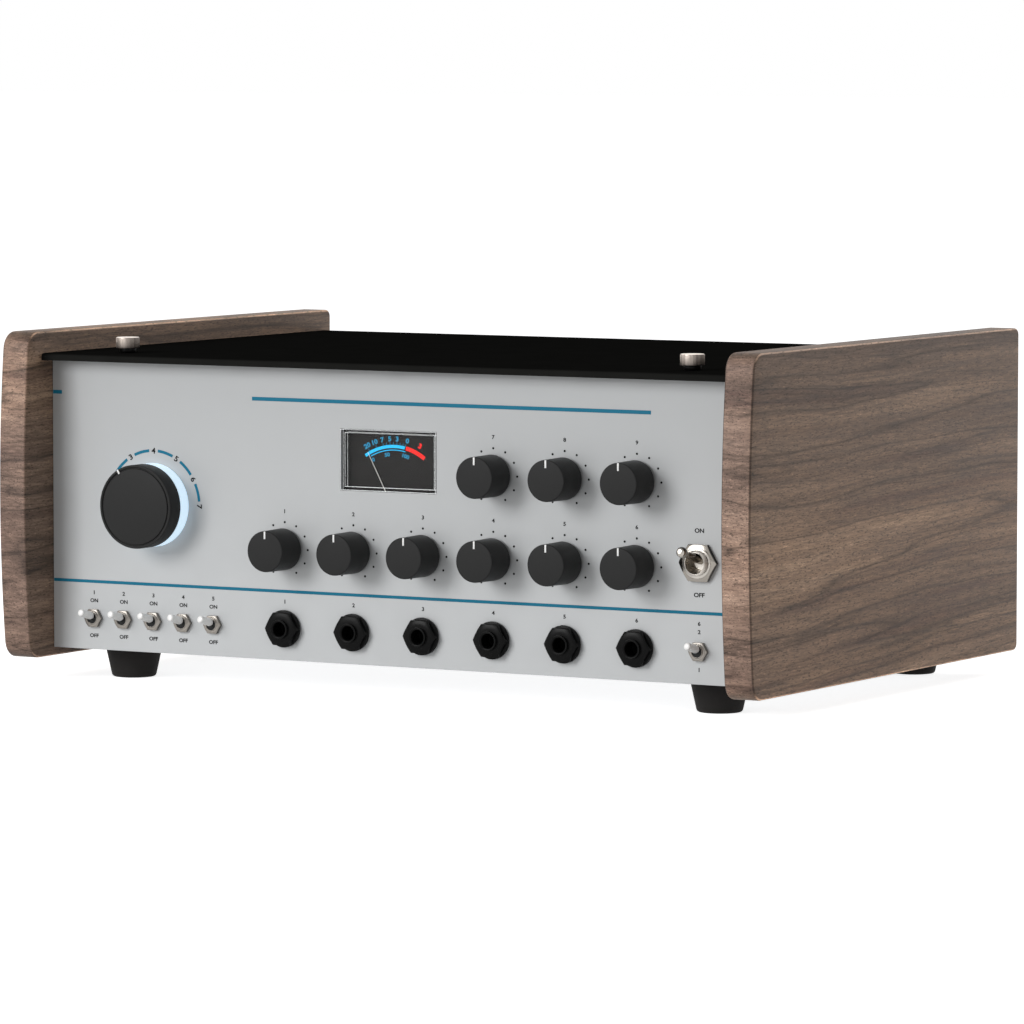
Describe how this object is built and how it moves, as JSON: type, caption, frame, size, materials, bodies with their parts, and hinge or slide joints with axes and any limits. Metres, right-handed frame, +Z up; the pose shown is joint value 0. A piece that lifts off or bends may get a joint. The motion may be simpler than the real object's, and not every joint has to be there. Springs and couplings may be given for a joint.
{
  "type": "tape echo unit",
  "caption": "Table-top tape echo unit: steel case between wooden side panels, front panel of knobs, jacks, switches and a meter, with a tape transport under a tilting lid.",
  "frame": {"origin": "centre of the bounding box at the surface the feet stand on", "axes": "+X to the right seen from the front, -Y out of the front panel, +Z up"},
  "size_m": [0.409, 0.2824, 0.1689],
  "materials": {
    "walnut": "oiled walnut",
    "panel_paint": "satin pale grey paint with blue print",
    "lid_paint": "matt black powder coat",
    "steel_sheet": "zinc plated sheet",
    "foot_rubber": "moulded",
    "knob_plastic": "fine matt",
    "light_plastic": "lit from inside",
    "nickel": "nickel plated",
    "jack_plastic": "moulded black",
    "meter_plastic": "moulded black",
    "clear_plastic": "clear moulding",
    "needle_paint": "painted off-white",
    "green_board": "solder resist",
    "deck_aluminium": "brushed",
    "turned_steel": "turned and ground",
    "belt_rubber": "flat belt",
    "tape_film": "brown oxide on film",
    "bin_plastic": "moulded black",
    "winding_wrap": "amber winding tape over wire and core"
  },
  "bodies": {
    "case": {"left_side_panel": "walnut", "right_side_panel": "walnut", "front_panel": "panel_paint", "chassis_tray": "steel_sheet", "spring_tank": "steel_sheet", "foot_front_left": "foot_rubber", "foot_front_right": "foot_rubber", "foot_rear_left": "foot_rubber", "foot_rear_right": "foot_rubber", "selector_light_ring": "light_plastic", "control_board": "green_board", "main_circuit_board": "green_board", "jack_1": "jack_plastic", "jack_2": "jack_plastic", "jack_3": "jack_plastic", "jack_4": "jack_plastic", "jack_5": "jack_plastic", "jack_6": "jack_plastic", "mode_switch_board": "nickel", "level_switch_body": "nickel", "power_switch_body": "nickel", "meter_cover": "clear_plastic", "tape_bin_cover": "clear_plastic", "meter_case": "meter_plastic", "power_inlet": "meter_plastic", "deck_plate": "deck_aluminium", "head_plate": "deck_aluminium", "capstan_motor": "turned_steel", "erase_head": "turned_steel", "record_head": "turned_steel", "playback_heads": "turned_steel", "drive_belt": "belt_rubber", "tape_bin": "bin_plastic", "tape_loop": "tape_film", "transformer": "winding_wrap"},
    "lid": {"top_lid": "lid_paint"},
    "lid_screw_left": {"lid_screw_left": "nickel"},
    "lid_screw_right": {"lid_screw_right": "nickel"},
    "selector": {"selector_knob": "knob_plastic"},
    "knob_lower_1": {"knob_lower_1": "knob_plastic"},
    "knob_lower_2": {"knob_lower_2": "knob_plastic"},
    "knob_lower_3": {"knob_lower_3": "knob_plastic"},
    "knob_lower_4": {"knob_lower_4": "knob_plastic"},
    "knob_lower_5": {"knob_lower_5": "knob_plastic"},
    "knob_lower_6": {"knob_lower_6": "knob_plastic"},
    "knob_upper_1": {"knob_upper_1": "knob_plastic"},
    "knob_upper_2": {"knob_upper_2": "knob_plastic"},
    "knob_upper_3": {"knob_upper_3": "knob_plastic"},
    "mode_switch_lever_1": {"mode_switch_lever_1": "nickel"},
    "mode_switch_lever_2": {"mode_switch_lever_2": "nickel"},
    "mode_switch_lever_3": {"mode_switch_lever_3": "nickel"},
    "mode_switch_lever_4": {"mode_switch_lever_4": "nickel"},
    "mode_switch_lever_5": {"mode_switch_lever_5": "nickel"},
    "level_switch_lever": {"level_switch_lever": "nickel"},
    "power_switch_lever": {"power_switch_lever": "nickel"},
    "needle": {"meter_needle": "needle_paint"},
    "flywheel": {"capstan_flywheel": "turned_steel"},
    "pulley": {"motor_pulley": "deck_aluminium"},
    "pinch_arm": {"pinch_arm": "turned_steel"},
    "pinch_roller": {"pinch_roller": "belt_rubber"}
  },
  "joints": [
    {"name": "lid_tilt", "type": "hinge", "parent": "case", "child": "lid", "pos_m": [0, 0.135, 0.1551], "axis": [-1, 0, 0], "range_deg": [0, 75]},
    {"name": "lid_screw_left_turn", "type": "hinge", "parent": "lid", "child": "lid_screw_left", "pos_m": [-0.1547, -0.1033, 0.157], "axis": [0, 0, 1], "continuous": true},
    {"name": "lid_screw_right_turn", "type": "hinge", "parent": "lid", "child": "lid_screw_right", "pos_m": [0.1547, -0.1033, 0.157], "axis": [0, 0, 1], "continuous": true},
    {"name": "selector_turn", "type": "hinge", "parent": "case", "child": "selector", "pos_m": [-0.1313, -0.117, 0.0867], "axis": [0, 1, 0], "range_deg": [-60, 120]},
    {"name": "knob_lower_1_turn", "type": "hinge", "parent": "case", "child": "knob_lower_1", "pos_m": [-0.0573, -0.117, 0.0684], "axis": [0, 1, 0], "range_deg": [-150, 150]},
    {"name": "knob_lower_2_turn", "type": "hinge", "parent": "case", "child": "knob_lower_2", "pos_m": [-0.0192, -0.117, 0.0684], "axis": [0, 1, 0], "range_deg": [-150, 150]},
    {"name": "knob_lower_3_turn", "type": "hinge", "parent": "case", "child": "knob_lower_3", "pos_m": [0.0189, -0.117, 0.0684], "axis": [0, 1, 0], "range_deg": [-150, 150]},
    {"name": "knob_lower_4_turn", "type": "hinge", "parent": "case", "child": "knob_lower_4", "pos_m": [0.057, -0.117, 0.0684], "axis": [0, 1, 0], "range_deg": [-150, 150]},
    {"name": "knob_lower_5_turn", "type": "hinge", "parent": "case", "child": "knob_lower_5", "pos_m": [0.0951, -0.117, 0.0684], "axis": [0, 1, 0], "range_deg": [-150, 150]},
    {"name": "knob_lower_6_turn", "type": "hinge", "parent": "case", "child": "knob_lower_6", "pos_m": [0.1332, -0.117, 0.0684], "axis": [0, 1, 0], "range_deg": [-150, 150]},
    {"name": "knob_upper_1_turn", "type": "hinge", "parent": "case", "child": "knob_upper_1", "pos_m": [0.057, -0.117, 0.1074], "axis": [0, 1, 0], "range_deg": [-150, 150]},
    {"name": "knob_upper_2_turn", "type": "hinge", "parent": "case", "child": "knob_upper_2", "pos_m": [0.0951, -0.117, 0.1074], "axis": [0, 1, 0], "range_deg": [-150, 150]},
    {"name": "knob_upper_3_turn", "type": "hinge", "parent": "case", "child": "knob_upper_3", "pos_m": [0.1332, -0.117, 0.1074], "axis": [0, 1, 0], "range_deg": [-150, 150]},
    {"name": "mode_switch_1_tilt", "type": "hinge", "parent": "case", "child": "mode_switch_lever_1", "pos_m": [-0.1658, -0.115, 0.0305], "axis": [1, 0, 0], "range_deg": [0, 28]},
    {"name": "mode_switch_2_tilt", "type": "hinge", "parent": "case", "child": "mode_switch_lever_2", "pos_m": [-0.14875, -0.115, 0.0305], "axis": [1, 0, 0], "range_deg": [0, 28]},
    {"name": "mode_switch_3_tilt", "type": "hinge", "parent": "case", "child": "mode_switch_lever_3", "pos_m": [-0.1317, -0.115, 0.0305], "axis": [1, 0, 0], "range_deg": [0, 28]},
    {"name": "mode_switch_4_tilt", "type": "hinge", "parent": "case", "child": "mode_switch_lever_4", "pos_m": [-0.11465, -0.115, 0.0305], "axis": [1, 0, 0], "range_deg": [0, 28]},
    {"name": "mode_switch_5_tilt", "type": "hinge", "parent": "case", "child": "mode_switch_lever_5", "pos_m": [-0.0976, -0.115, 0.0305], "axis": [1, 0, 0], "range_deg": [0, 28]},
    {"name": "level_switch_tilt", "type": "hinge", "parent": "case", "child": "level_switch_lever", "pos_m": [0.1658, -0.115, 0.0305], "axis": [1, 0, 0], "range_deg": [0, 28]},
    {"name": "power_switch_tilt", "type": "hinge", "parent": "case", "child": "power_switch_lever", "pos_m": [0.1658, -0.112, 0.0713], "axis": [1, 0, 0], "range_deg": [0, 31]},
    {"name": "needle_swing", "type": "hinge", "parent": "case", "child": "needle", "pos_m": [0, -0.112, 0.0891], "axis": [0, 1, 0], "range_deg": [0, 62], "stiffness_Nm_per_rad": 0.00001, "springref_deg": -17.19},
    {"name": "flywheel_turn", "type": "hinge", "parent": "case", "child": "flywheel", "pos_m": [0.138, -0.0425, 0.1003], "axis": [0, 0, 1], "continuous": true},
    {"name": "pulley_turn", "type": "hinge", "parent": "case", "child": "pulley", "pos_m": [0.095, 0.015, 0.1003], "axis": [0, 0, 1], "continuous": true},
    {"name": "pinch_arm_swing", "type": "hinge", "parent": "case", "child": "pinch_arm", "pos_m": [0.11, -0.064, 0.116], "axis": [0, 0, 1], "range_deg": [-12, 0]},
    {"name": "pinch_roller_turn", "type": "hinge", "parent": "pinch_arm", "child": "pinch_roller", "pos_m": [0.138, -0.0565, 0.124], "axis": [0, 0, 1], "continuous": true}
  ],
  "couplings": [
    {"joint": "pulley_turn", "follows": "flywheel_turn", "ratio": 5.3333},
    {"joint": "pinch_roller_turn", "follows": "flywheel_turn", "ratio": -0.1818}
  ]
}
